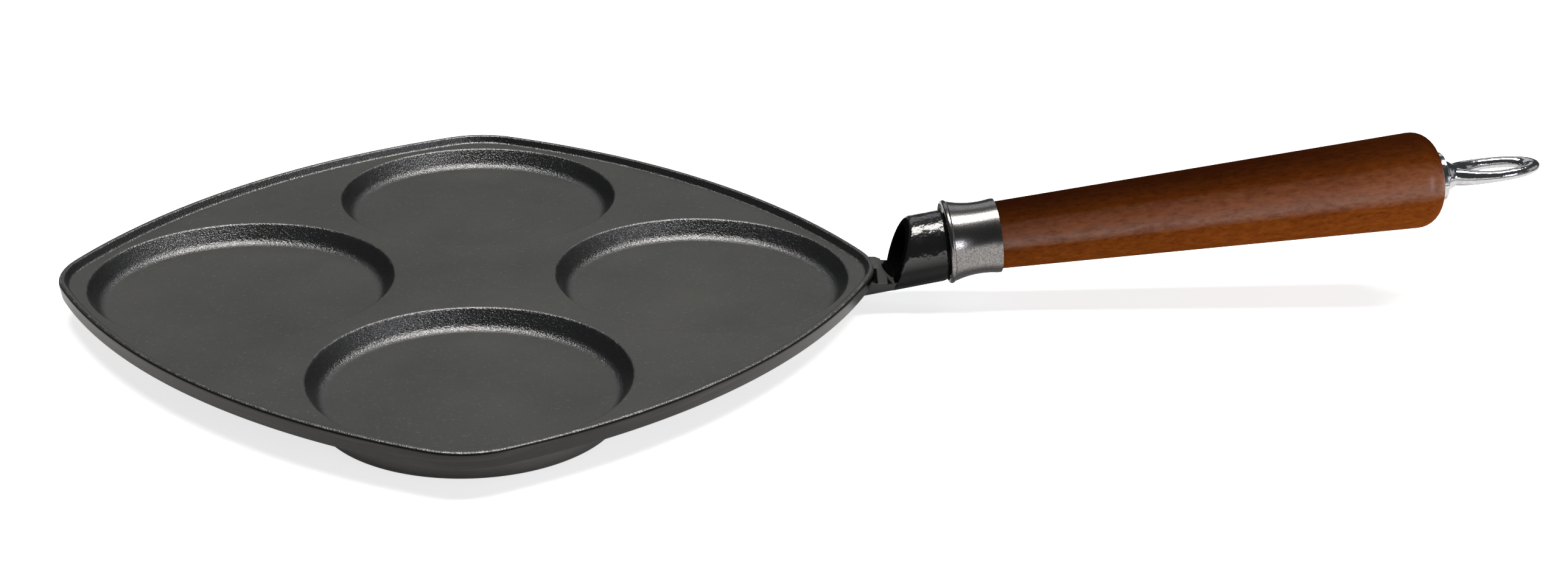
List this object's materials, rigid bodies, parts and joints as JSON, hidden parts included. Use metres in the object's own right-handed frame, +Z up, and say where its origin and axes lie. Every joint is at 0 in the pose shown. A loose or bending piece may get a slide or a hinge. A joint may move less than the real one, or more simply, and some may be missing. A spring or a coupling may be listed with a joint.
{
  "type": "egg pan",
  "caption": "Square cast iron egg pan with round wells, standing on round pads, with a turned wooden handle held by a tie rod, a metal ferrule and a screw-on hanging loop.",
  "frame": {"origin": "on the hob plane, under the middle of the four wells", "axes": "+X from the middle of the pan towards the handle, +Z up"},
  "size_m": [0.4866, 0.2618, 0.0577],
  "materials": {
    "iron": "seasoned black casting, satin, fine grain",
    "ferrule_metal": "pitted casting, polished and worn",
    "handle_wood": "turned, satin varnish over fine lengthwise grain",
    "loop_chrome": "bright plating",
    "plain_steel": "dull zinc"
  },
  "bodies": {
    "pan": {"pan_body": "iron", "ferrule": "ferrule_metal", "wood_handle": "handle_wood", "hex_nut": "plain_steel", "lock_washer": "plain_steel"},
    "rod": {"tie_rod": "plain_steel"},
    "loop": {"hanging_loop": "loop_chrome"}
  },
  "joints": [
    {"name": "rod_slide", "type": "slide", "parent": "pan", "child": "rod", "axis": [0.9919, 0, 0.1271], "range_m": [0, 0.00701]},
    {"name": "loop_turn", "type": "hinge", "parent": "rod", "child": "loop", "pos_m": [0.31965, 0, 0.04259], "axis": [0.9919, 0, 0.1271], "range_deg": [0, 2520]}
  ],
  "couplings": [
    {"joint": "rod_slide", "follows": "loop_turn", "m_per_rad": 0.00015915}
  ]
}
